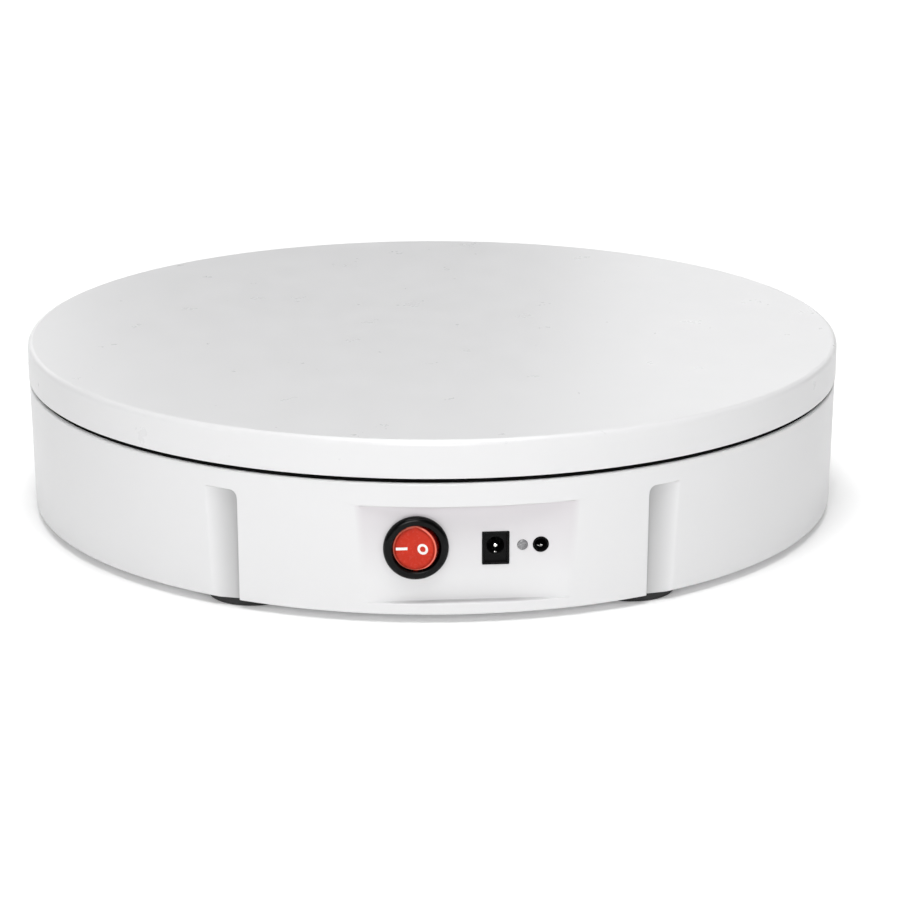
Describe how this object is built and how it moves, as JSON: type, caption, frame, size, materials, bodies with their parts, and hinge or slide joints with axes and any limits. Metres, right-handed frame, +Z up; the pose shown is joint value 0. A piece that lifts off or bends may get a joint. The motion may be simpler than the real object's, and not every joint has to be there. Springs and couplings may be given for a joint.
{
  "type": "motorised display turntable",
  "caption": "Round powered display turntable: a flat white platter turns on a low round base with a panel holding a rocker switch, power inlet and trigger socket.",
  "frame": {"origin": "centre of the underside, on the spin axis, on the surface that the feet stand on", "axes": "+Z up along the platter's spin axis; -Y is the front, midway between the two grips; +X is to the right seen from the front"},
  "size_m": [0.32, 0.32, 0.0675],
  "materials": {
    "white_shell": "glossy white moulded ABS",
    "white_platter": "glossy white moulded ABS, polished top",
    "cover_plastic": "fine textured light grey moulded plastic",
    "foot_rubber": "matte black rubber",
    "ring_foam": "black foam rubber",
    "deck_paint": "black powder-coated sheet steel",
    "zinc_screw": "bright zinc plating",
    "cast_alloy": "die cast, satin",
    "bearing_steel": "ground and polished steel",
    "cage_brass": "pressed brass",
    "sheet_steel": "galvanised sheet",
    "turned_steel": "fine turned steel",
    "acetal": "natural acetal, satin",
    "roller_urethane": "dark grey polyurethane",
    "lamination": "black stator laminations",
    "circuit_board": "green solder mask",
    "chip_epoxy": "black moulded epoxy",
    "capacitor_sleeve": "dark blue shrink sleeve",
    "plug_nylon": "natural nylon",
    "heat_sink_alloy": "grey anodised",
    "socket_black": "black moulded plastic",
    "contact_metal": "nickel plated",
    "window_smoke": "smoky translucent plastic",
    "switch_black": "glossy black moulded nylon",
    "rocker_red": "glossy translucent red plastic",
    "mark_white": "white pad-printed mark",
    "tab_brass": "tinned brass",
    "lead_red": "soft PVC",
    "lead_black": "soft PVC",
    "lead_grey": "soft PVC",
    "lead_orange": "soft PVC"
  },
  "bodies": {
    "base": {"base_shell": "white_shell", "bottom_cover": "cover_plastic", "cover_screws": "zinc_screw", "rubber_feet": "foot_rubber", "chassis_deck": "deck_paint", "deck_screws": "zinc_screw", "dust_ring": "ring_foam", "bearing_housing": "cast_alloy", "housing_screws": "zinc_screw", "bearing_outer_race": "bearing_steel", "roller_brackets": "sheet_steel", "bracket_screws": "zinc_screw", "roller_axles": "turned_steel", "motor_stator": "lamination", "motor_front_cap": "cast_alloy", "motor_rear_cap": "cast_alloy", "motor_screws": "zinc_screw", "motor_socket": "plug_nylon", "main_board": "circuit_board", "board_screws": "zinc_screw", "board_chips": "chip_epoxy", "board_capacitors": "capacitor_sleeve", "board_plugs": "plug_nylon", "heat_sink": "heat_sink_alloy", "io_board": "circuit_board", "io_board_screws": "zinc_screw", "power_inlet": "socket_black", "inlet_pin": "contact_metal", "receiver_window": "window_smoke", "receiver_chip": "chip_epoxy", "trigger_socket": "socket_black", "trigger_contact": "contact_metal", "switch_housing": "switch_black", "switch_terminals": "tab_brass", "switch_leads": "lead_red", "power_leads": "lead_black", "signal_leads": "lead_grey", "motor_leads": "lead_orange"},
    "platter": {"platter": "white_platter", "track_ring": "sheet_steel", "ring_gear": "acetal", "gear_screws": "zinc_screw", "spindle": "turned_steel", "spindle_screws": "zinc_screw", "bearing_inner_race": "bearing_steel", "retaining_clip": "turned_steel"},
    "cage": {"bearing_cage": "cage_brass", "bearing_balls": "bearing_steel"},
    "pinion": {"motor_shaft": "turned_steel", "drive_pinion": "acetal"},
    "rocker": {"switch_rocker": "rocker_red", "rocker_marks": "mark_white"},
    "roller_1": {"roller_1": "roller_urethane"},
    "roller_2": {"roller_2": "roller_urethane"},
    "roller_3": {"roller_3": "roller_urethane"},
    "roller_4": {"roller_4": "roller_urethane"},
    "roller_5": {"roller_5": "roller_urethane"},
    "roller_6": {"roller_6": "roller_urethane"}
  },
  "joints": [
    {"name": "platter_spin", "type": "hinge", "parent": "base", "child": "platter", "pos_m": [0, 0, 0.0505], "axis": [0, 0, 1], "continuous": true},
    {"name": "cage_spin", "type": "hinge", "parent": "base", "child": "cage", "pos_m": [0, 0, 0.0505], "axis": [0, 0, 1], "continuous": true},
    {"name": "pinion_spin", "type": "hinge", "parent": "base", "child": "pinion", "pos_m": [0, 0.072, 0.04], "axis": [0, 0, 1], "continuous": true},
    {"name": "roller_spin_1", "type": "hinge", "parent": "base", "child": "roller_1", "pos_m": [0.07, -0.12124, 0.05325], "axis": [0.5, -0.866, 0], "continuous": true},
    {"name": "roller_spin_2", "type": "hinge", "parent": "base", "child": "roller_2", "pos_m": [0.14, 0, 0.05325], "axis": [1, 0, 0], "continuous": true},
    {"name": "roller_spin_3", "type": "hinge", "parent": "base", "child": "roller_3", "pos_m": [0.07, 0.12124, 0.05325], "axis": [0.5, 0.866, 0], "continuous": true},
    {"name": "roller_spin_4", "type": "hinge", "parent": "base", "child": "roller_4", "pos_m": [-0.07, 0.12124, 0.05325], "axis": [-0.5, 0.866, 0], "continuous": true},
    {"name": "roller_spin_5", "type": "hinge", "parent": "base", "child": "roller_5", "pos_m": [-0.14, 0, 0.05325], "axis": [-1, 0, 0], "continuous": true},
    {"name": "roller_spin_6", "type": "hinge", "parent": "base", "child": "roller_6", "pos_m": [-0.07, -0.12124, 0.05325], "axis": [-0.5, -0.866, 0], "continuous": true},
    {"name": "rocker_tilt", "type": "hinge", "parent": "base", "child": "rocker", "pos_m": [-0.01021, -0.15495, 0.0273], "axis": [0, 0, 1], "range_deg": [0, 22]}
  ],
  "couplings": [
    {"joint": "cage_spin", "follows": "platter_spin", "ratio": 0.4016},
    {"joint": "pinion_spin", "follows": "platter_spin", "ratio": 9},
    {"joint": "roller_spin_1", "follows": "platter_spin", "ratio": -17.5},
    {"joint": "roller_spin_2", "follows": "platter_spin", "ratio": -17.5},
    {"joint": "roller_spin_3", "follows": "platter_spin", "ratio": -17.5},
    {"joint": "roller_spin_4", "follows": "platter_spin", "ratio": -17.5},
    {"joint": "roller_spin_5", "follows": "platter_spin", "ratio": -17.5},
    {"joint": "roller_spin_6", "follows": "platter_spin", "ratio": -17.5}
  ]
}
